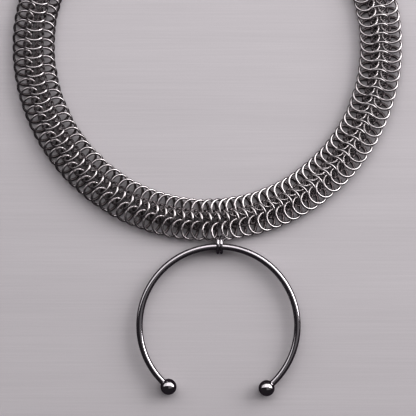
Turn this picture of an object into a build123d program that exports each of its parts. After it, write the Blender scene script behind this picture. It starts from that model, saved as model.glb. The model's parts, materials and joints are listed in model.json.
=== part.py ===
"""Chainmail necklace laid flat: a woven band of linked steel rings with an open hoop pendant.

Millimetres, +Z up, +Y from the pendant towards the clasp. The necklace rests on z = 0, and the
origin is under the middle of its whole length and width. Angles along the band are degrees from
the loop's lowest point, counter-clockwise seen from above.
"""

from math import asin, cos, degrees, pi, radians, sin, sqrt, tan
import os

from build123d import *

# The loop of mail
LOOP_RADIUS = 68.7
RING_WIRE = 1.0
RING_BORE = 6.2
RING_PITCH = 3.6
ROW_SPACING = 4.3
EDGE_LEAN = 27.0
CENTRE_LEAN = 50.0
CENTRE_LIFT = 0.37
FOOT_DEPTH = 0.08

# The ring of mail that carries the pendant
PENDANT_ANGLE = 3.75
CARRIER_LEAN = 30.0
CARRIER_TURN = 10.0
CARRIER_PULL = 0.5
CARRIER_DIP = 0.6

# The two connector rings
CONNECTOR_WIRE = 1.2
CONNECTOR_PLAY = 1.5
CONNECTOR_SPLIT = 0.14
CONNECTOR_OFFSET = -0.25
BUTT_JOINT = 0.06
CLEARANCE = 0.2

# The hoop pendant and its balls
HOOP_RADIUS = 31.2
HOOP_ROD = 2.5
HOOP_SWING = 0.8
HOOP_SEAT = 45.0
BALL_DIAMETER = 6.3
BALL_ANGLE = 38.4
SOCKET_DEPTH = 1.95
SOCKET_PLAY = 0.08

# The clasp at the back and the end rings that it closes
CLASP_PLACES = 5
CLASP_WIRE = 1.6
CLASP_BORE = 4.4
CLASP_TILT = 40.0
END_LEAN = 16.0
END_SHIFT = 1.0
END_RAISE = 0.72

# Room that the band leaves round the connectors and the clasp
PASSAGE_PLAY = 0.5

# Sizes that follow for the mail
RING_RADIUS = (RING_BORE + RING_WIRE) / 2
RING_REACH = RING_RADIUS + RING_WIRE / 2
RING_PLACES = round(2 * pi * LOOP_RADIUS / RING_PITCH)
PLACE_ANGLE = 360 / RING_PLACES
EDGE_RINGS = RING_PLACES - CLASP_PLACES
FIRST_ANGLE = PENDANT_ANGLE - PLACE_ANGLE * (EDGE_RINGS // 2 + 1)
LAST_ANGLE = FIRST_ANGLE + PLACE_ANGLE * (EDGE_RINGS - 1)
CLASP_ANGLE = LAST_ANGLE + PLACE_ANGLE * (CLASP_PLACES + 1) / 2
ROW_RADII = {
    "inner": LOOP_RADIUS - ROW_SPACING,
    "centre": LOOP_RADIUS,
    "outer": LOOP_RADIUS + ROW_SPACING,
}
ROW_LEANS = {"inner": EDGE_LEAN, "centre": CENTRE_LEAN, "outer": EDGE_LEAN}
ROW_LIFTS = {"inner": 0.0, "centre": CENTRE_LIFT, "outer": 0.0}


def row_rise(row):
    """Half the height that a leaning ring of this row takes."""
    return RING_RADIUS * sin(radians(ROW_LEANS[row])) + RING_WIRE / 2


def row_height(row):
    """Height of a row's ring centres. The edge rows stand on the floor and lift the middle row."""
    return row_rise(row) + ROW_LIFTS[row]


def ring_length(row):
    """Half the length that a leaning ring of this row takes along the band."""
    return RING_RADIUS * cos(radians(ROW_LEANS[row])) + RING_WIRE / 2


# Sizes that follow for the connectors
CONNECTOR_BORE = RING_WIRE + HOOP_ROD + CONNECTOR_PLAY
CONNECTOR_RADIUS = (CONNECTOR_BORE + CONNECTOR_WIRE) / 2
CONNECTOR_HEIGHT = CONNECTOR_RADIUS + CONNECTOR_WIRE / 2
CONNECTOR_SPACING = CONNECTOR_WIRE + CONNECTOR_SPLIT
BUTT_ANGLE = degrees(BUTT_JOINT / CONNECTOR_RADIUS)
CARRIER_RADIUS = ROW_RADII["outer"] + CARRIER_PULL
CARRIER_EDGE = CARRIER_RADIUS + RING_RADIUS
CARRIER_SLOPE = CONNECTOR_SPACING / 2 * tan(radians(CARRIER_LEAN))
CARRIER_BELOW = CARRIER_DIP + CARRIER_SLOPE
CARRIER_ROOM = CONNECTOR_BORE / 2 - RING_WIRE / 2 - CLEARANCE
CONNECTOR_DROP = sqrt(CARRIER_ROOM**2 - CARRIER_BELOW**2)
SEAT_ROOM = (CONNECTOR_BORE - HOOP_ROD) / 2 - CLEARANCE
SEAT_DROP = SEAT_ROOM * cos(radians(HOOP_SEAT))
SEAT_HEIGHT = CONNECTOR_HEIGHT - SEAT_ROOM * sin(radians(HOOP_SEAT))

# Distances along Y from the loop's centre, which put the origin in the middle of the whole length
CONNECTOR_Y = -CARRIER_EDGE * cos(radians(PENDANT_ANGLE)) - CONNECTOR_DROP
BALL_DROP = HOOP_RADIUS * (cos(radians(HOOP_SWING)) + cos(radians(BALL_ANGLE - HOOP_SWING)))
LENGTH_BELOW = -CONNECTOR_Y + SEAT_DROP + BALL_DROP + BALL_DIAMETER / 2
LENGTH_ABOVE = -(ROW_RADII["outer"] + RING_REACH) * cos(radians(LAST_ANGLE))
LOOP_Y = (LENGTH_BELOW - LENGTH_ABOVE) / 2
LOOP_CENTRE = Vector(0, LOOP_Y, 0)
UP = Vector(0, 0, 1)


def outward(angle):
    """Direction away from the loop's centre."""
    return Vector(sin(radians(angle)), -cos(radians(angle)), 0)


def forward(angle):
    """Direction along the band, counter-clockwise seen from above."""
    return Vector(cos(radians(angle)), sin(radians(angle)), 0)


def on_band(angle, radius, height=0.0):
    """Point at an angle along the band and a distance from the loop's centre."""
    return LOOP_CENTRE + outward(angle) * radius + UP * height


def mail_ring_plane(angle, radius, height, lean, turn=0.0):
    """Plane of one ring of mail. A positive lean lifts its forward side."""
    out = outward(angle + turn)
    along = forward(angle + turn) * cos(radians(lean)) + UP * sin(radians(lean))
    return Plane(origin=on_band(angle, radius, height), x_dir=out, z_dir=out.cross(along))


# Places of the clasp: its bows cross the middles of the two end rings
END_ANGLE = PLACE_ANGLE * CLASP_PLACES / 2 - degrees(END_SHIFT / LOOP_RADIUS)
CLASP_RADIUS = (CLASP_BORE + CLASP_WIRE) / 2
CLASP_REACH = LOOP_RADIUS * sin(radians(END_ANGLE))
CLASP_STRAIGHT = CLASP_REACH - CLASP_RADIUS
CLASP_HEIGHT = CLASP_RADIUS * cos(radians(CLASP_TILT)) + CLASP_WIRE / 2
SLOT_REACH = CLASP_REACH + CLASP_WIRE / 2 + PASSAGE_PLAY
SLOT_ANGLE = degrees(asin(SLOT_REACH / LOOP_RADIUS))
SLOT_HALF = CLASP_RADIUS * sin(radians(CLASP_TILT)) + CLASP_WIRE / 2 + PASSAGE_PLAY / 2

# The notch in the outer edge where the connectors pass
NOTCH_FLOOR = -CONNECTOR_Y - CONNECTOR_HEIGHT - PASSAGE_PLAY


def cusp_radius(row, side):
    """Where the outlines of two neighbouring edge rings meet."""
    half_place = ROW_RADII[row] * radians(PLACE_ANGLE) / 2
    share = sqrt(1 - (half_place / ring_length(row)) ** 2)
    return ROW_RADII[row] + side * RING_REACH * share


def scallops(row, side, angles):
    """One arc for each edge ring, left open as a notch at the ring that carries the pendant."""
    crown = ROW_RADII[row] + side * RING_REACH
    cusp = cusp_radius(row, side)
    half = PLACE_ANGLE / 2
    for angle in angles:
        start = on_band(angle - half, cusp)
        end = on_band(angle + half, cusp)
        if row == "outer" and abs(angle - PENDANT_ANGLE) < half:
            Polyline(start, on_band(angle - half, NOTCH_FLOOR), on_band(angle + half, NOTCH_FLOOR), end)
        else:
            ThreePointArc(start, on_band(angle, crown), end)


def band_end(edge_angle, slot_angle, away):
    """Two lobes of the last edge rings with the clasp's slot between them."""
    lobes = {}
    for row, side in (("outer", 1), ("inner", -1)):
        radius = ROW_RADII[row]
        beside = SLOT_HALF - ROW_SPACING
        length = ring_length(row)
        corner = length * sqrt(1 - (beside / RING_REACH) ** 2)
        shoulder = on_band(edge_angle + away * PLACE_ANGLE / 2, cusp_radius(row, side))
        tip = on_band(edge_angle + away * degrees(length / radius), radius)
        mouth = on_band(edge_angle + away * degrees(corner / radius), LOOP_RADIUS + side * SLOT_HALF)
        lobes[row] = mouth
        ThreePointArc(shoulder, tip, mouth)
    floor_outer = on_band(slot_angle, LOOP_RADIUS + SLOT_HALF)
    floor_inner = on_band(slot_angle, LOOP_RADIUS - SLOT_HALF)
    Polyline(lobes["outer"], floor_outer, floor_inner, lobes["inner"])


# Mail band: three rows of leaning rings as one solid with a lobe for each row and a scallop
# for each edge ring, and with the three rings that other pieces pass through
edge_angles = [FIRST_ANGLE + PLACE_ANGLE * place for place in range(EDGE_RINGS)]
section_plane = Plane(origin=LOOP_CENTRE, x_dir=(1, 0, 0), z_dir=(0, -1, 0))
band_width = 2 * (ROW_SPACING + RING_REACH)
band_height = 2 * row_height("centre")
carrier = mail_ring_plane(
    PENDANT_ANGLE, CARRIER_RADIUS, CONNECTOR_HEIGHT - CARRIER_DIP, -CARRIER_LEAN, CARRIER_TURN
)
end_right = mail_ring_plane(
    CLASP_ANGLE - END_ANGLE, LOOP_RADIUS, CLASP_HEIGHT - END_RAISE, END_LEAN
)
end_left = mail_ring_plane(
    CLASP_ANGLE + END_ANGLE, LOOP_RADIUS, CLASP_HEIGHT + END_RAISE, END_LEAN
)

with BuildPart() as mail_band:
    with BuildSketch(section_plane):
        for row, radius in ROW_RADII.items():
            with Locations((radius, row_height(row) - FOOT_DEPTH)):
                Ellipse(RING_REACH, row_rise(row))
        with Locations((LOOP_RADIUS, 0)):
            Rectangle(2 * band_width, band_height, align=(Align.CENTER, Align.MAX), mode=Mode.SUBTRACT)
    revolve(axis=Axis(LOOP_CENTRE, UP))
    with BuildSketch():
        with BuildLine():
            scallops("outer", 1, edge_angles)
            scallops("inner", -1, edge_angles)
            band_end(LAST_ANGLE, CLASP_ANGLE - SLOT_ANGLE, 1)
            band_end(FIRST_ANGLE, CLASP_ANGLE + SLOT_ANGLE, -1)
        make_face()
    extrude(amount=band_height, mode=Mode.INTERSECT)
    with Locations(carrier, end_right, end_left):
        Torus(RING_RADIUS, RING_WIRE / 2)
mail_band.part.label = "mail_band"

# Connector rings: two jump rings side by side, upright, each round the carrying ring and the rod
connector_x = CARRIER_EDGE * sin(radians(PENDANT_ANGLE)) + CONNECTOR_OFFSET
connector_rings = {}
for name, side in (("connector_ring_left", -1), ("connector_ring_right", 1)):
    centre = LOOP_CENTRE + Vector(connector_x + side * CONNECTOR_SPACING / 2, CONNECTOR_Y, CONNECTOR_HEIGHT)
    with BuildPart() as connector:
        with BuildSketch(Plane(origin=centre, x_dir=(0, 1, 0), z_dir=(0, 0, -1))):
            with Locations((CONNECTOR_RADIUS, 0)):
                Circle(CONNECTOR_WIRE / 2)
        revolve(axis=Axis(centre, (1, 0, 0)), revolution_arc=360 - BUTT_ANGLE)
    connector.part.label = name
    connector_rings[name] = connector.part

# Hoop: a round rod bent to an open circle. It hangs swung a little to one side, and tilts so
# that it lies on the balls at one end and in the connectors at the other
seat_to_balls = HOOP_RADIUS * (1 + cos(radians(BALL_ANGLE)))
hoop_tilt = asin((SEAT_HEIGHT - BALL_DIAMETER / 2) / seat_to_balls)
hoop_seat = LOOP_CENTRE + Vector(connector_x, CONNECTOR_Y - SEAT_DROP, SEAT_HEIGHT)
hoop_across = Vector(cos(radians(HOOP_SWING)), -sin(radians(HOOP_SWING)), 0)
hoop_up = (
    Vector(sin(radians(HOOP_SWING)), cos(radians(HOOP_SWING)), 0) * cos(hoop_tilt)
    + UP * sin(hoop_tilt)
)
hoop_plane = Plane(
    origin=hoop_seat - hoop_up * HOOP_RADIUS, x_dir=hoop_across, z_dir=hoop_across.cross(hoop_up)
)
rod_end_angle = BALL_ANGLE + degrees((BALL_DIAMETER / 2 - SOCKET_DEPTH) / HOOP_RADIUS)
with BuildPart() as hoop:
    with BuildLine(hoop_plane):
        rod_line = CenterArc((0, 0), HOOP_RADIUS, rod_end_angle - 90, 360 - 2 * rod_end_angle)
    with BuildSketch(Plane(origin=rod_line @ 0, z_dir=rod_line % 0)):
        Circle(HOOP_ROD / 2)
    sweep()
hoop.part.label = "hoop"


def on_hoop(angle):
    """Point on the rod's line, at an angle from the middle of the hoop's gap."""
    return hoop_plane.from_local_coords(
        (HOOP_RADIUS * sin(radians(angle)), -HOOP_RADIUS * cos(radians(angle)))
    )


# Balls: one on each end of the rod, which sits in a blind socket
mouth_angle = BALL_ANGLE + degrees(BALL_DIAMETER / 2 / HOOP_RADIUS)
balls = {}
for name, side in (("ball_left", -1), ("ball_right", 1)):
    rod_end = on_hoop(side * rod_end_angle)
    socket_plane = Plane(origin=rod_end, z_dir=on_hoop(side * mouth_angle) - rod_end)
    with BuildPart() as ball:
        with Locations(on_hoop(side * BALL_ANGLE)):
            Sphere(BALL_DIAMETER / 2)
        with BuildSketch(socket_plane.offset(-SOCKET_PLAY)):
            Circle(HOOP_ROD / 2 + SOCKET_PLAY)
        extrude(amount=BALL_DIAMETER / 2, mode=Mode.SUBTRACT)
    ball.part.label = name
    balls[name] = ball.part

# Clasp: a plain oval link of thicker wire that leans between the end rings
clasp_across = outward(CLASP_ANGLE) * sin(radians(CLASP_TILT)) + UP * cos(radians(CLASP_TILT))
clasp_plane = Plane(
    origin=on_band(CLASP_ANGLE, LOOP_RADIUS * cos(radians(END_ANGLE)), CLASP_HEIGHT),
    x_dir=forward(CLASP_ANGLE),
    z_dir=forward(CLASP_ANGLE).cross(clasp_across),
)
with BuildPart() as clasp:
    with BuildLine(clasp_plane):
        lower = Line((-CLASP_STRAIGHT, -CLASP_RADIUS), (CLASP_STRAIGHT, -CLASP_RADIUS))
        CenterArc((CLASP_STRAIGHT, 0), CLASP_RADIUS, -90, 180)
        Line((CLASP_STRAIGHT, CLASP_RADIUS), (-CLASP_STRAIGHT, CLASP_RADIUS))
        CenterArc((-CLASP_STRAIGHT, 0), CLASP_RADIUS, 90, 180)
    with BuildSketch(Plane(origin=lower @ 0, z_dir=lower % 0)):
        Circle(CLASP_WIRE / 2)
    sweep()
clasp.part.label = "clasp"

os.makedirs("parts", exist_ok=True)
export_step(mail_band.part, "parts/mail_band.step")
export_step(hoop.part, "parts/hoop.step")
export_step(clasp.part, "parts/clasp.step")
for name, piece in {**connector_rings, **balls}.items():
    export_step(piece, f"parts/{name}.step")
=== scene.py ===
# %% [markdown]
# The necklace is a choker of chainmail that lies flat: three rows of small steel rings, each linked
# through its neighbours, and an open hoop with a ball on each end that hangs from one of the rings.
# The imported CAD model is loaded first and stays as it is. It holds the hoop, the balls, the two
# connector rings and the clasp at their real shape, and the band as one plain solid. The steps below
# weave that band from its rings and give every piece its metal.

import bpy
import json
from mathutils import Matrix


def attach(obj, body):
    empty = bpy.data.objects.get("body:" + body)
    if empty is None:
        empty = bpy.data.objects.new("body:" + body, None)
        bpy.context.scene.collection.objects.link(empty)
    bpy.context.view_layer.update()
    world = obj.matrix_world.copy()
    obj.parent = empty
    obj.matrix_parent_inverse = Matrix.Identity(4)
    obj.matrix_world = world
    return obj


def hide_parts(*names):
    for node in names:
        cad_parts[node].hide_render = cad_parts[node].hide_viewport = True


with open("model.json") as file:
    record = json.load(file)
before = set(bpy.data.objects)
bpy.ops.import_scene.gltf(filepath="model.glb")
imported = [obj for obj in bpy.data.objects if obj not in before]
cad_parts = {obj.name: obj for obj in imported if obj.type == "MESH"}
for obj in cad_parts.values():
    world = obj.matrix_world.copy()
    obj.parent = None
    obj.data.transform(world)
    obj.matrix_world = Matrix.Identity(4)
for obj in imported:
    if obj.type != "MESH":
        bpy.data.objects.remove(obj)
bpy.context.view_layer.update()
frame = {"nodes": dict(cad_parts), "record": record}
print("CAD nodes:", sorted(frame["nodes"]))

# %% [markdown]
# The next cell brings in what the later ones use: bpy is Blender's own library, and numpy works with
# long lists of numbers. Blender measures in metres, and the parts of a necklace are thought of in
# millimetres, so each size on the necklace is a number times MM. The CAD model's record names a few
# places on it. The one called neck is the middle of the loop, and everything else is placed from there.

# %% Units and the middle of the loop
from dataclasses import dataclass, replace
import json
from math import cos, degrees, pi, radians, sin

import bpy
import numpy as np
from mathutils import Vector

MM = 0.001
mounts = {mount["name"]: Vector(mount["pos_m"]) for mount in frame["record"]["mounts"]}
loop_centre = mounts["neck"]
print("middle of the loop, mm:", [round(value / MM, 2) for value in loop_centre])

# %% [markdown]
# The photo looks straight down, and nothing in it shrinks with distance, as in a flatbed scan. A
# camera can imitate that with parallel rays or with a long lens far away. The long lens is used,
# because its view can also be moved round the necklace. Its place comes from two facts: how long one
# pixel of the photo is on the surface, and which pixel shows the middle of the loop.

# %% The camera
PHOTO_PIXELS = 416
PIXEL_LENGTH = 0.396 * MM
LOOP_PIXEL = (207.4, 46.5)
LENS_MM = 250
SENSOR_MM = 36
NEAREST_SEEN = 0.01
FARTHEST_SEEN = 20

photo_middle = PHOTO_PIXELS / 2
view_x = loop_centre.x + (photo_middle - LOOP_PIXEL[0]) * PIXEL_LENGTH
view_y = loop_centre.y - (photo_middle - LOOP_PIXEL[1]) * PIXEL_LENGTH
camera_height = PHOTO_PIXELS * PIXEL_LENGTH * LENS_MM / SENSOR_MM

camera_data = bpy.data.cameras.new("scan_camera")
camera_data.lens = LENS_MM
camera_data.sensor_width = SENSOR_MM
camera_data.clip_start = NEAREST_SEEN
camera_data.clip_end = FARTHEST_SEEN
camera = bpy.data.objects.new("scan_camera", camera_data)
camera.location = (view_x, view_y, camera_height)
bpy.context.scene.collection.objects.link(camera)
bpy.context.scene.camera = camera
print("camera height, m:", round(camera_height, 3))

# %% [markdown]
# Polished steel has almost no colour of its own: it shows what is round it. In the photo each ball
# shows one broad bright band that bends up in its middle and runs out to the sides, as under the long
# lamp of a scanner, and everything else in the ball is dark. The shadows on the surface all fall to
# the left, so most of the light comes from the right end of the lamp. One area light is equally bright
# all over, so a row of level panels shares the work, from the strongest at the right to the weakest at
# the left. Each is given by how far it reaches for every unit of its height: to the left and right,
# and from its near to its far side. The last panel lies on the near side of the others, and is the
# faint glow that the balls show under the bright band.

# %% The lamps
LAMP_HEIGHT = 1.0
PANELS = {
    # name: (left, right, near, far, radiance)
    "lamp_right": (1.0, 9.0, 0.22, 2.6, 4.6),
    "lamp_middle": (-0.6, 1.0, 0.22, 2.6, 1.45),
    "lamp_left": (-3.0, -0.6, 0.22, 2.6, 1.0),
    "lamp_left_end": (-9.0, -3.0, 0.3, 3.5, 0.42),
    "lamp_glow": (0.0, 6.0, -0.5, 0.22, 0.2),
}


def hang_panel(name, left, right, near, far, radiance):
    """A level area light. Its sides are given in lamp heights from the middle of the view."""
    panel = bpy.data.lights.new(name, "AREA")
    panel.shape = "RECTANGLE"
    panel.size = (right - left) * LAMP_HEIGHT
    panel.size_y = (far - near) * LAMP_HEIGHT
    # The power of an area light is its radiance times pi times its area
    panel.energy = radiance * pi * panel.size * panel.size_y
    lamp = bpy.data.objects.new(name, panel)
    lamp.location = (
        view_x + (left + right) / 2 * LAMP_HEIGHT,
        view_y + (near + far) / 2 * LAMP_HEIGHT,
        LAMP_HEIGHT,
    )
    lamp.visible_camera = False
    bpy.context.scene.collection.objects.link(lamp)
    print(name, "m:", round(panel.size, 2), "x", round(panel.size_y, 2))


for panel_name, panel_sides in PANELS.items():
    hang_panel(panel_name, *panel_sides)

# %% [markdown]
# A material is a small network of nodes. One function adds a node, sets it and links it. Another turns
# a colour picked on screen, an sRGB hex value, into the linear numbers that Blender calculates with.

# %% Nodes and colours


def linear(hex_colour):
    """Linear RGBA of an sRGB hex value. The numbers are those of the sRGB standard."""
    channels = [int(hex_colour[place:place + 2], 16) / 255 for place in (1, 3, 5)]
    return (*(c / 12.92 if c <= 0.04045 else ((c + 0.055) / 1.055) ** 2.4 for c in channels), 1.0)


def add_node(tree, kind, settings=None, links=None):
    """Adds a node. Settings are input values or properties by name, and links feed its inputs."""
    node = tree.nodes.new(kind)
    for name, value in (settings or {}).items():
        if name in node.inputs:
            node.inputs[name].default_value = value
        else:
            setattr(node, name, value)
    for name, source in (links or {}).items():
        tree.links.new(source, node.inputs[name])
    return node


def empty_material(name):
    """A material with no nodes yet."""
    material = bpy.data.materials.new(name)
    material.use_nodes = True
    material.node_tree.nodes.clear()
    return material


print("white in linear numbers:", linear("#FFFFFF"))

# %% [markdown]
# The room is nearly black for the metal, which gives the dark caps on the balls and the dark sides of
# each wire, and pale for the camera, so that a low view past the floor's edge still ends in a plain
# backdrop. A Light Path node tells the two apart. The room is very slightly violet, which gives the
# dark metal the cold tint that it has in the photo. A scan also has more contrast than the eye sees,
# so the view has a little more exposure and a gamma under 1, which deepens the shade in the rings.

# %% The room
ROOM_COLOUR = "#F7EEFB"
ROOM_REFLECTED = 0.045
BACKDROP_SHOWN = 0.5
SCAN_EXPOSURE = 0.29
SCAN_GAMMA = 0.78

world = bpy.data.worlds.new("room")
world.use_nodes = True
bpy.context.scene.world = world
room = world.node_tree
room.nodes.clear()
seen_by = add_node(room, "ShaderNodeLightPath")
strength = add_node(
    room, "ShaderNodeMapRange",
    {"To Min": ROOM_REFLECTED, "To Max": BACKDROP_SHOWN},
    {"Value": seen_by.outputs["Is Camera Ray"]},
)
background = add_node(
    room, "ShaderNodeBackground", {"Color": linear(ROOM_COLOUR)},
    {"Strength": strength.outputs["Result"]},
)
add_node(room, "ShaderNodeOutputWorld", links={"Surface": background.outputs["Background"]})
tones = bpy.context.scene.view_settings
tones.view_transform = "Standard"
tones.exposure = SCAN_EXPOSURE
tones.gamma = SCAN_GAMMA
print("room brightness:", ROOM_REFLECTED, "for the metal and", BACKDROP_SHOWN, "for the camera")

# %% [markdown]
# The surface in the photo is a pale, slightly pink grey board with faint level streaks. It could be a
# plain grey, but the streaks give the eye its scale. Two stretched noises make them, fine ones not
# quite two pixels apart and broad soft bands, and a third noise is the faint mottle of printed paper.

# %% The streaks of the board
STREAK_SPACING = 0.7 * MM
STREAK_LENGTH = 45 * MM
BAND_SPACING = 16 * MM
BAND_LENGTH = 260 * MM
SPECK_SIZE = 0.5 * MM
BAND_SHARE = 0.45
SPECK_SHARE = 0.2


def board_grain(tree, place):
    """One pattern of fine streaks, broad bands and small specks."""
    streaks_at = add_node(
        tree, "ShaderNodeMapping", {"Scale": (1 / STREAK_LENGTH, 1 / STREAK_SPACING, 1)},
        {"Vector": place},
    )
    streaks = add_node(
        tree, "ShaderNodeTexNoise", {"Scale": 1.0, "Detail": 2.0},
        {"Vector": streaks_at.outputs["Vector"]},
    )
    bands_at = add_node(
        tree, "ShaderNodeMapping", {"Scale": (1 / BAND_LENGTH, 1 / BAND_SPACING, 1)},
        {"Vector": place},
    )
    bands = add_node(
        tree, "ShaderNodeTexNoise", {"Scale": 1.0, "Detail": 3.0},
        {"Vector": bands_at.outputs["Vector"]},
    )
    specks = add_node(
        tree, "ShaderNodeTexNoise", {"Scale": 1 / SPECK_SIZE, "Detail": 1.0}, {"Vector": place}
    )
    lines = add_node(
        tree, "ShaderNodeMix", {"data_type": "FLOAT", "Factor": BAND_SHARE},
        {"A": streaks.outputs["Fac"], "B": bands.outputs["Fac"]},
    )
    grain = add_node(
        tree, "ShaderNodeMix", {"data_type": "FLOAT", "Factor": SPECK_SHARE},
        {"A": lines.outputs["Result"], "B": specks.outputs["Fac"]},
    )
    return grain.outputs["Result"]


print("pixels between fine streaks:", round(STREAK_SPACING / PIXEL_LENGTH, 2))

# %% [markdown]
# Laminate is printed paper pressed under a thin resin. This one is matt, so it is rough and only
# weakly glossy. In a scan the lamp lights only the strip that is being read, so polished metal mirrors
# a darker board than the camera sees. One material could not look both ways by itself, so here the
# board answers glossy rays with a darker grey.

# %% The board
BOARD_COLOURS = ("#D0CBCE", "#DAD5D8")
BOARD_MIRRORED = "#463F47"
BOARD_ROUGHNESS = 0.75
BOARD_SPECULAR = 0.2
# Nearly all values of a noise lie between these
NOISE_LOW = 0.3
NOISE_HIGH = 0.7


def laminate_board():
    """Matt laminated board: printed paper under a thin resin, with faint streaks along its length."""
    material = empty_material("matt_laminate_board")
    tree = material.node_tree
    place = add_node(tree, "ShaderNodeTexCoord").outputs["Object"]
    colour = add_node(tree, "ShaderNodeValToRGB", links={"Fac": board_grain(tree, place)})
    stops = colour.color_ramp.elements
    for stop, value, shade in zip(stops, (NOISE_LOW, NOISE_HIGH), BOARD_COLOURS):
        stop.position = value
        stop.color = linear(shade)
    board = add_node(
        tree, "ShaderNodeBsdfPrincipled",
        {"Roughness": BOARD_ROUGHNESS, "Specular IOR Level": BOARD_SPECULAR},
        {"Base Color": colour.outputs["Color"]},
    )
    mirrored = add_node(tree, "ShaderNodeBsdfDiffuse", {"Color": linear(BOARD_MIRRORED)})
    seen = add_node(tree, "ShaderNodeLightPath")
    either = add_node(
        tree, "ShaderNodeMixShader",
        links={0: seen.outputs["Is Glossy Ray"], 1: board.outputs["BSDF"], 2: mirrored.outputs["BSDF"]},
    )
    add_node(tree, "ShaderNodeOutputMaterial", links={"Surface": either.outputs["Shader"]})
    return material


print("board colours:", BOARD_COLOURS, "and in the metal:", BOARD_MIRRORED)

# %% [markdown]
# One flat square carries the board. It is six metres wide, so that a low view finds its edge far away.

# %% The floor
FLOOR_SIDE = 6.0

half = FLOOR_SIDE / 2
floor_mesh = bpy.data.meshes.new("floor")
corners = [(-half, -half, 0), (half, -half, 0), (half, half, 0), (-half, half, 0)]
floor_mesh.from_pydata(corners, [], [(0, 1, 2, 3)])
floor_mesh.materials.append(laminate_board())
floor = bpy.data.objects.new("floor", floor_mesh)
bpy.context.scene.collection.objects.link(floor)
print("floor, m:", FLOOR_SIDE)

# %% [markdown]
# Mail is woven from rings of round wire that lean like fallen dominoes. In this weave each ring of the
# middle row passes through four rings of the rows beside it. The edge rows lean one way and lie rather
# flat, so they show as long crescents. The middle row leans the other way and stands steeper, so the
# eye reads three columns of arcs. The rings could come from an array modifier along a curve, but each
# row needs its own radius, lean and shift for the wires to pass each other, so each ring's place is
# worked out here. The loop, the wire, the bore and the leans repeat the CAD model's.
#
# The loop has 120 places for rings, 3 degrees apart. Leans and shifts are in degrees, and a negative
# shift moves a row back along the loop. The lift keeps the middle row a little off the surface,
# because its rings hang in the edge rows.

# %% The three rows
LOOP_RADIUS = 68.7 * MM
RING_WIRE = 1.0 * MM
RING_BORE = 6.2 * MM
RING_PLACES = 120
ROW_SPACING = 4.3 * MM

RING_RADIUS = (RING_BORE + RING_WIRE) / 2
PLACE_ANGLE = 360 / RING_PLACES


@dataclass
class Row:
    """One row of mail. Side is -1 where the rings' backward sides are raised."""
    radius: float
    side: int
    lean: float
    held_lean: float
    shift: float
    lift: float


ROWS = {
    "inner": Row(LOOP_RADIUS - ROW_SPACING, -1, lean=27, held_lean=40, shift=-0.28, lift=0),
    "outer": Row(LOOP_RADIUS + ROW_SPACING, -1, lean=27, held_lean=43, shift=-0.21, lift=0),
    "centre": Row(LOOP_RADIUS, 1, lean=50, held_lean=54, shift=0, lift=0.37 * MM),
}
print("outside of a ring, mm:", round((RING_BORE + 2 * RING_WIRE) / MM, 2))

# %% [markdown]
# Most rings lie free, but some are held up: those round the carrier, which is the ring that the
# pendant hangs from, and those at the two ends of the band. They stand steeper, and their row's own
# values pass smoothly into a second set there. One lean for a whole row would be simpler, but then the
# wires would run into each other at the pendant and the clasp. Each ring starts by standing on the
# surface with its lowest point, with a hair of play so that the wire and the floor don't share a face.
#
# Angles run counter-clockwise from the front of the loop. The pendant hangs at 3.75 degrees, and five
# places at the back are left open for the clasp. A ring is fully held up to 0.6 of a place from the
# carrier, or 2.1 places from an end, and it is free 1.2 places further on.

# %% One ring in its place
PENDANT_ANGLE = 3.75
CLASP_PLACES = 5
HELD_PLACES = 0.6
EASE_PLACES = 1.2
END_REACH = 1.5
FLOOR_PLAY = 0.02 * MM

EDGE_RINGS = RING_PLACES - CLASP_PLACES
FIRST_ANGLE = PENDANT_ANGLE - PLACE_ANGLE * (EDGE_RINGS // 2 + 1)
LAST_ANGLE = FIRST_ANGLE + PLACE_ANGLE * (EDGE_RINGS - 1)


@dataclass
class Ring:
    """One ring of mail. A positive lean lifts its forward side, counter-clockwise seen from above."""
    row: str
    angle: float
    radius: float
    height: float
    lean: float
    turn: float = 0.0
    held: bool = False


def standing_height(lean):
    """Height of the middle of a ring that leans this much and stands on the surface."""
    return RING_RADIUS * sin(radians(abs(lean))) + RING_WIRE / 2 + FLOOR_PLAY


def held_share(angle):
    """1 beside the carrier and the ends of the band, falling smoothly to 0 away from them."""
    from_end = min(abs(angle - FIRST_ANGLE), abs(angle - LAST_ANGLE)) / PLACE_ANGLE - END_REACH
    places = min(abs(angle - PENDANT_ANGLE) / PLACE_ANGLE, from_end)
    share = 1 - min(max(places - HELD_PLACES, 0) / EASE_PLACES, 1)
    return share * share * (3 - 2 * share)


def plain_ring(name, angle):
    """A ring in its row's regular place."""
    row = ROWS[name]
    share = held_share(angle)
    lean = row.lean + share * (row.held_lean - row.lean)
    height = standing_height(lean) + (1 - share) * row.lift
    place = angle + (1 - share) * row.shift
    return Ring(name, place, row.radius, height, row.side * lean, held=share > 0)


print("rings in an edge row:", EDGE_RINGS)

# %% [markdown]
# Three rings have places of their own, which repeat the CAD model's. The carrier in the outer row is
# pulled out and lifted by the connector rings, and turned a little. The two end rings of the middle
# row are drawn together by the clasp, one passing a little higher than the other.

# %% All the rings
CARRIER_LEAN = 30.0
CARRIER_TURN = 10.0
CARRIER_PULL = 0.5 * MM
CARRIER_HEIGHT = 3.1 * MM
END_LEAN = 16.0
END_SHIFT = 1.0 * MM
END_HEIGHT = 3.1 * MM
END_RAISE = 0.72 * MM

CLASP_ANGLE = LAST_ANGLE + PLACE_ANGLE * (CLASP_PLACES + 1) / 2
END_ANGLE = PLACE_ANGLE * CLASP_PLACES / 2 - degrees(END_SHIFT / LOOP_RADIUS)


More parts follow.
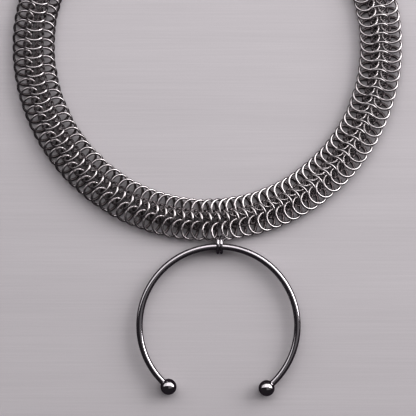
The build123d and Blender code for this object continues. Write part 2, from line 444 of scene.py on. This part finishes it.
def woven_rings():
    """Every ring of the band, row by row, with the carrier and the two end rings in their places."""
    edge_angles = [FIRST_ANGLE + PLACE_ANGLE * place for place in range(EDGE_RINGS)]
    rings = [plain_ring(name, angle) for name in ("inner", "outer") for angle in edge_angles]
    carrier = min(rings[EDGE_RINGS:], key=lambda ring: abs(ring.angle - PENDANT_ANGLE))
    carrier.radius += CARRIER_PULL
    carrier.height = CARRIER_HEIGHT
    carrier.lean = -CARRIER_LEAN
    carrier.turn = CARRIER_TURN
    centre_angles = [angle + PLACE_ANGLE / 2 for angle in edge_angles[:-1]]
    first_end = CLASP_ANGLE + END_ANGLE - 360
    last_end = CLASP_ANGLE - END_ANGLE
    rings.append(Ring("centre", first_end, LOOP_RADIUS, END_HEIGHT + END_RAISE, END_LEAN, held=True))
    rings += [plain_ring("centre", angle) for angle in centre_angles]
    rings.append(Ring("centre", last_end, LOOP_RADIUS, END_HEIGHT - END_RAISE, END_LEAN, held=True))
    return rings


rings = woven_rings()
print("rings of mail:", len(rings))

# %% [markdown]
# A leaning ring has three directions of its own: outward from the loop, along its rise, and through
# its bore. Ready-made rings could be turned by rotation matrices, but with these directions a line or
# two of numpy gives any number of points on a wire. How close two wires come is then measured between
# points along their middles.

# %% Where a wire runs
LINE_POINTS = 72

line_angles = np.linspace(0, 2 * pi, LINE_POINTS, endpoint=False)


def ring_frame(ring):
    """Middle of a ring, with its directions outward, along the ring's rise, and through its bore."""
    turned = radians(ring.angle + ring.turn)
    place = radians(ring.angle)
    out = np.array((sin(turned), -cos(turned), 0))
    forward = np.array((cos(turned), sin(turned), 0))
    along = forward * cos(radians(ring.lean)) + np.array((0, 0, sin(radians(ring.lean))))
    middle = np.array(loop_centre) + ring.radius * np.array((sin(place), -cos(place), 0))
    middle[2] = ring.height
    return middle, out, along, np.cross(out, along)


def middle_line(ring):
    """Points along the middle of a ring's wire."""
    middle, out, along, _ = ring_frame(ring)
    round_ring = np.outer(np.cos(line_angles), out) + np.outer(np.sin(line_angles), along)
    return middle + RING_RADIUS * round_ring


def nearest(line, others):
    """Shortest distance from one wire's middle line to others."""
    return min(np.linalg.norm(line[:, None] - other[None], axis=2).min() for other in others)


first_gap = nearest(middle_line(rings[0]), [middle_line(rings[1])]) - RING_WIRE
print("gap between the first two rings, mm:", round(first_gap / MM, 2))

# %% [markdown]
# In a bought band no two rings lie quite alike. Each ring here gets a small seeded change of lean,
# turn and place, and keeps it only if its wire still clears its neighbours. It has five tries, each
# with smaller changes than the last. Seeding the draws gives the same band each time. No ring slides
# past the band's outer edge, so the band keeps its size. Rings that something holds stay as they are,
# which also keeps them clear of the connector rings and the clasp.

# %% Let the rings settle
SEED = 11
LEAN_SPREAD = 1.6
TURN_SPREAD = 1.8
SLIDE_SPREAD = 0.10 * MM
CLEAR_DISTANCE = RING_WIRE + 0.05 * MM
TRIES = 5
NEIGHBOUR_ANGLE = 2.6 * PLACE_ANGLE

rng = np.random.default_rng(SEED)


def settle(rings):
    """Moves each free ring a little, within what its neighbours allow, and returns how many moved."""
    lines = [middle_line(ring) for ring in rings]
    angles = np.array([ring.angle for ring in rings])
    outermost = ROWS["outer"].radius
    moved = 0
    for index, ring in enumerate(rings):
        apart = np.abs((angles - ring.angle + 180) % 360 - 180)
        near = np.flatnonzero(apart < NEIGHBOUR_ANGLE)
        neighbours = [lines[other] for other in near if other != index]
        for attempt in range(TRIES):
            share = 1 - attempt / TRIES
            lean_change, turn_change, slide, shift = rng.normal(0, share, 4)
            lean = ring.lean + LEAN_SPREAD * lean_change
            tried = replace(
                ring,
                lean=lean,
                turn=ring.turn + TURN_SPREAD * turn_change,
                radius=min(ring.radius + SLIDE_SPREAD * slide, outermost),
                angle=ring.angle + degrees(SLIDE_SPREAD * shift / LOOP_RADIUS),
                height=ring.height + standing_height(lean) - standing_height(ring.lean),
            )
            line = middle_line(tried)
            if not ring.held and nearest(line, neighbours) > CLEAR_DISTANCE:
                rings[index] = tried
                lines[index] = line
                moved += 1
                break
    return moved


print("rings that moved a little:", settle(rings))

# %% [markdown]
# A ring of mail is a short length of wire bent round until its cut ends meet. A torus would have no
# ends, so each ring is built as a bent tube with two flat cut faces a hair apart, and with the small
# step sideways that the pliers leave. The tube is a circle of points carried round the ring.

# %% Bend one wire
WIRE_STEPS = 52
WIRE_SIDES = 14
CUT_GAP = 0.05 * MM
CUT_STEP = 0.04 * MM


def ring_points(ring, start, section):
    """Points of one bent wire, step by step from cut end to cut end, each step a circle of points."""
    middle, out, along, through = ring_frame(ring)
    gap = CUT_GAP / RING_RADIUS
    turns = np.linspace(gap / 2, 2 * pi - gap / 2, WIRE_STEPS)
    radial = np.outer(np.cos(turns + start), out) + np.outer(np.sin(turns + start), along)
    spine = middle + RING_RADIUS * radial + np.outer((turns / (2 * pi) - 0.5) * CUT_STEP, through)
    circle = RING_WIRE / 2 * (
        np.cos(section)[None, :, None] * radial[:, None] + np.sin(section)[None, :, None] * through
    )
    return (spine[:, None] + circle).reshape(-1, 3)


def tube_faces():
    """Faces of one bent wire, and the UV place of each corner, with the cut ends last."""
    faces = []
    corners = []
    around = pi * RING_WIRE / WIRE_SIDES
    ahead = 2 * pi * RING_RADIUS / (WIRE_STEPS - 1)
    for step in range(WIRE_STEPS - 1):
        for side in range(WIRE_SIDES):
            beside = (side + 1) % WIRE_SIDES
            low = step * WIRE_SIDES
            high = low + WIRE_SIDES
            faces.append((low + side, low + beside, high + beside, high + side))
            for u, v in ((step, side), (step, side + 1), (step + 1, side + 1), (step + 1, side)):
                corners.append((u * ahead, v * around))
    last = (WIRE_STEPS - 1) * WIRE_SIDES
    faces.append(tuple(reversed(range(WIRE_SIDES))))
    faces.append(tuple(range(last, last + WIRE_SIDES)))
    corners += [(0.0, side * around) for side in range(2 * WIRE_SIDES)]
    return faces, corners


print("faces of one ring:", len(tube_faces()[0]))

# %% [markdown]
# All rings of a row become one mesh, made as arrays, because hundreds of separate objects would be
# slow to handle and each ring takes the same finish. The mesh's UV map is the wire unrolled, in
# metres: along the wire, and round it. A number for each ring goes with it, so that the material can
# make some rings a little brighter than others. The three rows take the place of the CAD band.

# %% Weave the rows
CUT_EDGE_ANGLE = 50


def weave_row(name, rings):
    """One mesh of all the rings of a row."""
    section = np.linspace(0, 2 * pi, WIRE_SIDES, endpoint=False)
    starts = rng.uniform(0, 2 * pi, len(rings))
    tones = rng.uniform(0, 1, len(rings))
    points = np.concatenate([ring_points(ring, start, section) for ring, start in zip(rings, starts)])
    one_faces, one_corners = tube_faces()
    size = WIRE_STEPS * WIRE_SIDES
    faces = [
        tuple(index + size * count for index in face)
        for count in range(len(rings)) for face in one_faces
    ]
    mesh = bpy.data.meshes.new(name)
    mesh.from_pydata(points.tolist(), [], faces)
    unrolled = mesh.uv_layers.new(name="unrolled_wire")
    corner_places = np.tile(np.array(one_corners, np.float32), (len(rings), 1))
    unrolled.data.foreach_set("uv", corner_places.ravel())
    tone = mesh.attributes.new("ring_tone", "FLOAT", "POINT")
    tone.data.foreach_set("value", np.repeat(tones, size).astype(np.float32))
    mesh.shade_smooth()
    mesh.set_sharp_from_angle(angle=radians(CUT_EDGE_ANGLE))
    piece = bpy.data.objects.new(name, mesh)
    bpy.context.scene.collection.objects.link(piece)
    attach(piece, "root")
    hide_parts("mail_band")
    triangles = sum(len(face) - 2 for face in one_faces) * len(rings)
    print(name, "has", len(rings), "rings and", triangles, "triangles")
    return piece


mail_rows = {
    row: weave_row(f"mail_{row}_row", [ring for ring in rings if ring.row == row])
    for row in ("inner", "centre", "outer")
}

# %% [markdown]
# The rings are stainless steel wire. One even grey could serve for all of them, but in the photo they
# differ, so each ring has its own tone, and faint handling marks a millimetre or so long change it a
# little more. The colour also follows the height above the surface. The low sides of the rings get a
# painted shade in place of the shade that the other rings cast there, so the arcs on top stand out.

# %% The colour of the wire, with painted shade low down
MARK_SHARE = 0.5
WIRE_COLOURS = ("#B6B0B1", "#D0CBCC")
# Painted shade: below the first height the wire takes this dark colour, and above the second it keeps
# its own
PAINTED_SHADE_COLOUR = "#786F70"
FULL_SHADE_BELOW = 0.9 * MM
NO_SHADE_ABOVE = 2.4 * MM


def wire_colour(tree, place, marks):
    """Steel in each ring's own tone, changed a little by the handling marks, and darkened low down by
    painted shade.
    """
    tone = add_node(tree, "ShaderNodeAttribute", {"attribute_name": "ring_tone"})
    shade = add_node(
        tree, "ShaderNodeMix", {"data_type": "FLOAT", "Factor": MARK_SHARE},
        {"A": tone.outputs["Fac"], "B": marks},
    )
    colour = add_node(
        tree, "ShaderNodeMix",
        {"data_type": "RGBA", "A": linear(WIRE_COLOURS[0]), "B": linear(WIRE_COLOURS[1])},
        {"Factor": shade.outputs["Result"]},
    )
    height = add_node(tree, "ShaderNodeSeparateXYZ", links={"Vector": place}).outputs["Z"]
    shade_fade = add_node(
        tree, "ShaderNodeMapRange",
        {"interpolation_type": "SMOOTHSTEP", "From Min": FULL_SHADE_BELOW, "From Max": NO_SHADE_ABOVE},
        {"Value": height},
    )
    # Painted shade: the wire gets darker towards the bottom of each ring
    shaded_colour = add_node(
        tree, "ShaderNodeMix", {"data_type": "RGBA", "A": linear(PAINTED_SHADE_COLOUR)},
        {"Factor": shade_fade.outputs["Result"], "B": colour.outputs["Result"]},
    )
    return shaded_colour.outputs["Result"]


# Heights between which the painted shade fades out
print("all haze below, mm:", round(FULL_SHADE_BELOW / MM, 2), "and none above:", round(NO_SHADE_ABOVE / MM, 2))

# %% [markdown]
# Drawing through a die leaves fine lines along the wire, and tumbling with steel shot then brightens
# it, so it is shiny with a slightly soft gloss: a roughness of about 0.2 to 0.3, which is typical of
# bright stainless wire. The die lines are about 0.02 mm apart, too fine to show, and are drawn 0.12 mm
# apart. They follow each wire round, which the unrolled UV map makes easy. One even roughness would
# look like plastic, so the lines and the handling marks make the gloss uneven.

# %% Drawn steel wire
DIE_LINE_SPACING = 0.12 * MM
DIE_LINE_LENGTH = 6 * MM
DIE_LINE_DEPTH = 0.004 * MM
HANDLING_MARK = 1.1 * MM
LINE_SHARE = 0.4
BUMP_STRENGTH = 0.5
WIRE_ROUGHNESS = (0.18, 0.3)


def drawn_steel_wire():
    """Stainless steel, drawn to wire and tumbled bright."""
    material = empty_material("drawn_stainless_steel_wire")
    tree = material.node_tree
    unrolled = add_node(tree, "ShaderNodeUVMap", {"uv_map": "unrolled_wire"}).outputs["UV"]
    place = add_node(tree, "ShaderNodeTexCoord").outputs["Object"]
    lines_at = add_node(
        tree, "ShaderNodeMapping", {"Scale": (1 / DIE_LINE_LENGTH, 1 / DIE_LINE_SPACING, 1)},
        {"Vector": unrolled},
    )
    lines = add_node(
        tree, "ShaderNodeTexNoise", {"noise_dimensions": "2D", "Scale": 1.0, "Detail": 2.0},
        {"Vector": lines_at.outputs["Vector"]},
    )
    marks = add_node(
        tree, "ShaderNodeTexNoise", {"Scale": 1 / HANDLING_MARK, "Detail": 3.0, "Roughness": 0.6},
        {"Vector": place},
    )
    gloss = add_node(
        tree, "ShaderNodeMix", {"data_type": "FLOAT", "Factor": LINE_SHARE},
        {"A": marks.outputs["Fac"], "B": lines.outputs["Fac"]},
    )
    roughness = add_node(
        tree, "ShaderNodeMapRange",
        {
            "From Min": NOISE_LOW, "From Max": NOISE_HIGH,
            "To Min": WIRE_ROUGHNESS[0], "To Max": WIRE_ROUGHNESS[1],
        },
        {"Value": gloss.outputs["Result"]},
    )
    relief = add_node(
        tree, "ShaderNodeBump", {"Strength": BUMP_STRENGTH, "Distance": DIE_LINE_DEPTH},
        {"Height": lines.outputs["Fac"]},
    )
    steel = add_node(
        tree, "ShaderNodeBsdfPrincipled", {"Metallic": 1.0},
        {
            "Base Color": wire_colour(tree, place, marks.outputs["Fac"]),
            "Roughness": roughness.outputs["Result"],
            "Normal": relief.outputs["Normal"],
        },
    )
    add_node(tree, "ShaderNodeOutputMaterial", links={"Surface": steel.outputs["BSDF"]})
    return material


wire_steel = drawn_steel_wire()
for piece in mail_rows.values():
    piece.data.materials.append(wire_steel)
print("drawn wire on", len(mail_rows), "rows")

# %% [markdown]
# The hoop, its balls, the connector rings and the clasp are CAD pieces, and they keep their meshes. A
# CAD mesh has no UV map, so their finish is laid out from places in space. Polishing mops leave soft
# hairlines and a faint waviness, and the mirror finish of the balls shows least of both. The hairlines
# are about 0.03 mm apart, too fine to show. They are drawn 0.25 mm apart and turned away from every
# axis, so that they cross all the pieces at a slant. The pieces differ in how rough the metal is, in
# how long and how deep its waves are, and in its two tones.

# %% Polished steel
HAIRLINE_SPACING = 0.25 * MM
HAIRLINE_LENGTH = 5 * MM
HAIRLINE_TURN = (20, 35, 40)


def polished_steel(name, roughness, wave_size, wave_depth, colours):
    """Stainless steel, ground and mopped to a shine, with hairlines and a soft waviness left in it."""
    material = empty_material(name)
    tree = material.node_tree
    place = add_node(tree, "ShaderNodeTexCoord").outputs["Object"]
    hairlines_at = add_node(
        tree, "ShaderNodeMapping",
        {
            "Rotation": tuple(radians(turn) for turn in HAIRLINE_TURN),
            "Scale": (1 / HAIRLINE_LENGTH, 1 / HAIRLINE_SPACING, 1 / HAIRLINE_SPACING),
        },
        {"Vector": place},
    )
    hairlines = add_node(
        tree, "ShaderNodeTexNoise", {"Scale": 1.0, "Detail": 2.0},
        {"Vector": hairlines_at.outputs["Vector"]},
    )
    waves = add_node(
        tree, "ShaderNodeTexNoise", {"Scale": 1 / wave_size, "Detail": 1.0}, {"Vector": place}
    )
    colour = add_node(
        tree, "ShaderNodeMix", {"data_type": "RGBA", "A": linear(colours[0]), "B": linear(colours[1])},
        {"Factor": waves.outputs["Fac"]},
    )
    gloss = add_node(
        tree, "ShaderNodeMapRange",
        {
            "From Min": NOISE_LOW, "From Max": NOISE_HIGH,
            "To Min": roughness[0], "To Max": roughness[1],
        },
        {"Value": hairlines.outputs["Fac"]},
    )
    relief = add_node(
        tree, "ShaderNodeBump", {"Strength": BUMP_STRENGTH, "Distance": wave_depth},
        {"Height": waves.outputs["Fac"]},
    )
    steel = add_node(
        tree, "ShaderNodeBsdfPrincipled", {"Metallic": 1.0},
        {
            "Base Color": colour.outputs["Result"],
            "Roughness": gloss.outputs["Result"],
            "Normal": relief.outputs["Normal"],
        },
    )
    add_node(tree, "ShaderNodeOutputMaterial", links={"Surface": steel.outputs["BSDF"]})
    return material


print("hairlines, mm apart:", round(HAIRLINE_SPACING / MM, 2))

# %% [markdown]
# Three finishes come from that one function. The rod keeps long, soft waves from being bent. The balls
# are ground true and polished to a mirror. The connector rings and the clasp are too small to mop
# well, so their gloss is the softest. Each finish goes into the slot that its CAD piece already has.

# %% The polished pieces
rod_steel = polished_steel(
    "mopped_stainless_steel_rod",
    roughness=(0.1, 0.18), wave_size=7 * MM, wave_depth=0.02 * MM, colours=("#B9B4B8", "#C9C4C8"),
)
ball_steel = polished_steel(
    "mirror_stainless_steel_ball",
    roughness=(0.04, 0.09), wave_size=5 * MM, wave_depth=0.004 * MM, colours=("#BFBABE", "#CCC8CB"),
)
fitting_steel = polished_steel(
    "mopped_stainless_steel_fitting",
    roughness=(0.14, 0.24), wave_size=2 * MM, wave_depth=0.01 * MM, colours=("#B9B4B8", "#CCC7CB"),
)
finishes = {
    "hoop": rod_steel,
    "ball_left": ball_steel,
    "ball_right": ball_steel,
    "connector_ring_left": fitting_steel,
    "connector_ring_right": fitting_steel,
    "clasp": fitting_steel,
}
for node, finish in finishes.items():
    frame["nodes"][node].material_slots[0].material = finish
print("finishes:", {node: finish.name for node, finish in finishes.items()})
